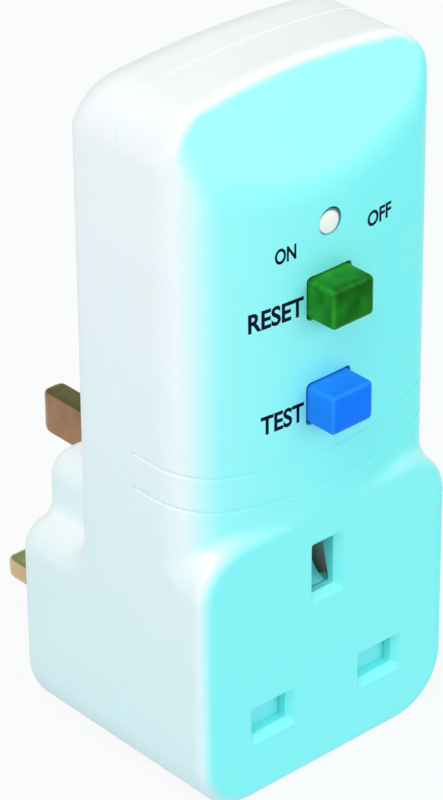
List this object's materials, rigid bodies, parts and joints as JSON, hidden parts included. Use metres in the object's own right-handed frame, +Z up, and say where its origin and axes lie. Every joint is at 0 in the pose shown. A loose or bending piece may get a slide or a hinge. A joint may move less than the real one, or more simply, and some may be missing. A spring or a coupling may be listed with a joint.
{
  "type": "rcd adapter plug",
  "caption": "Plug-through safety adapter: upright two-part case with plug pins behind, a shuttered socket on the front, reset and test buttons and an indicator window.",
  "frame": {"origin": "on the flat base, in the middle of the width and of the lower block's depth", "axes": "+X to the right seen from the socket side, +Y from the socket face towards the plug pins, +Z up"},
  "size_m": [0.051, 0.0709, 0.1175],
  "materials": {
    "case_plastic": "satin moulded",
    "screw_steel": "zinc plated",
    "clear_plastic": "clear polished",
    "flag_plastic": "moulded",
    "pin_steel": "bright",
    "green_plastic": "moulded",
    "spring_steel": "drawn wire",
    "blue_plastic": "moulded",
    "contact_brass": "rolled strip",
    "pin_brass": "drawn and milled",
    "sleeve_plastic": "moulded",
    "inner_plastic": "moulded",
    "board_laminate": "solder mask",
    "frame_plastic": "moulded",
    "bar_copper": "copper, rolled or wound",
    "core_ferrite": "sintered",
    "varistor_epoxy": "dipped",
    "capacitor_film": "boxed",
    "resistor_body": "coated",
    "chip_epoxy": "moulded"
  },
  "bodies": {
    "case": {"front_cover": "case_plastic", "rear_cover": "case_plastic", "cover_screws": "screw_steel", "indicator_lens": "clear_plastic", "flag_pin": "pin_steel", "reset_spring": "spring_steel", "test_spring": "spring_steel", "test_contact_leaf": "contact_brass", "earth_pin": "pin_brass", "line_pin": "pin_brass", "neutral_pin": "pin_brass", "line_pin_sleeve": "sleeve_plastic", "neutral_pin_sleeve": "sleeve_plastic", "line_contact": "contact_brass", "neutral_contact": "contact_brass", "earth_contact": "contact_brass", "earth_strap": "contact_brass", "socket_tray": "inner_plastic", "shutter_spring": "spring_steel", "circuit_board": "board_laminate", "board_screws": "screw_steel", "mechanism_frame": "frame_plastic", "carrier_spring": "spring_steel", "fixed_contacts": "bar_copper", "line_supply_bar": "bar_copper", "neutral_supply_bar": "bar_copper", "line_load_bar": "bar_copper", "neutral_load_bar": "bar_copper", "sensing_core": "core_ferrite", "sensing_winding": "bar_copper", "solenoid_yoke": "pin_steel", "solenoid_bobbin": "inner_plastic", "solenoid_coil": "bar_copper", "plunger_spring": "spring_steel", "latch_pin": "pin_steel", "varistor": "varistor_epoxy", "film_capacitor": "capacitor_film", "test_resistor": "resistor_body", "controller_chip": "chip_epoxy", "rectifier_diodes": "chip_epoxy"},
    "reset_button": {"reset_button": "green_plastic"},
    "test_button": {"test_button": "blue_plastic"},
    "shutter": {"shutter": "case_plastic"},
    "carrier": {"contact_carrier": "inner_plastic", "line_bridge": "contact_brass", "neutral_bridge": "contact_brass"},
    "flag": {"indicator_flag": "flag_plastic"},
    "plunger": {"solenoid_plunger": "pin_steel"},
    "lever": {"latch_lever": "pin_steel"}
  },
  "joints": [
    {"name": "reset_press", "type": "slide", "parent": "case", "child": "reset_button", "axis": [0, 1, 0], "range_m": [0, 0.003], "stiffness_N_per_m": 600, "springref_m": -0.003, "deforming": ["reset_spring", "carrier_spring"]},
    {"name": "carrier_slide", "type": "slide", "parent": "case", "child": "carrier", "axis": [0, 1, 0], "range_m": [0, 0.003], "deforming": ["carrier_spring"]},
    {"name": "flag_tilt", "type": "hinge", "parent": "case", "child": "flag", "pos_m": [0, -0.0108, 0.0949], "axis": [1, 0, 0], "range_deg": [0, 48]},
    {"name": "test_press", "type": "slide", "parent": "case", "child": "test_button", "axis": [0, 1, 0], "range_m": [0, 0.0025], "stiffness_N_per_m": 600, "springref_m": -0.003, "deforming": ["test_spring"]},
    {"name": "shutter_drop", "type": "slide", "parent": "case", "child": "shutter", "axis": [0, 0, -1], "range_m": [0, 0.0052], "stiffness_N_per_m": 80, "springref_m": -0.004, "deforming": ["shutter_spring"]},
    {"name": "plunger_pull", "type": "slide", "parent": "case", "child": "plunger", "axis": [0, 0, 1], "range_m": [0, 0.0015], "stiffness_N_per_m": 300, "springref_m": -0.001, "deforming": ["plunger_spring"]},
    {"name": "latch_tilt", "type": "hinge", "parent": "case", "child": "lever", "pos_m": [0.0046, -0.0076, 0.093], "axis": [0, -1, 0], "range_deg": [0, 14]}
  ],
  "couplings": [
    {"joint": "carrier_slide", "follows": "reset_press", "ratio": 1},
    {"joint": "flag_tilt", "follows": "reset_press", "rad_per_m": 279.24},
    {"joint": "latch_tilt", "follows": "plunger_pull", "rad_per_m": 156.25}
  ]
}
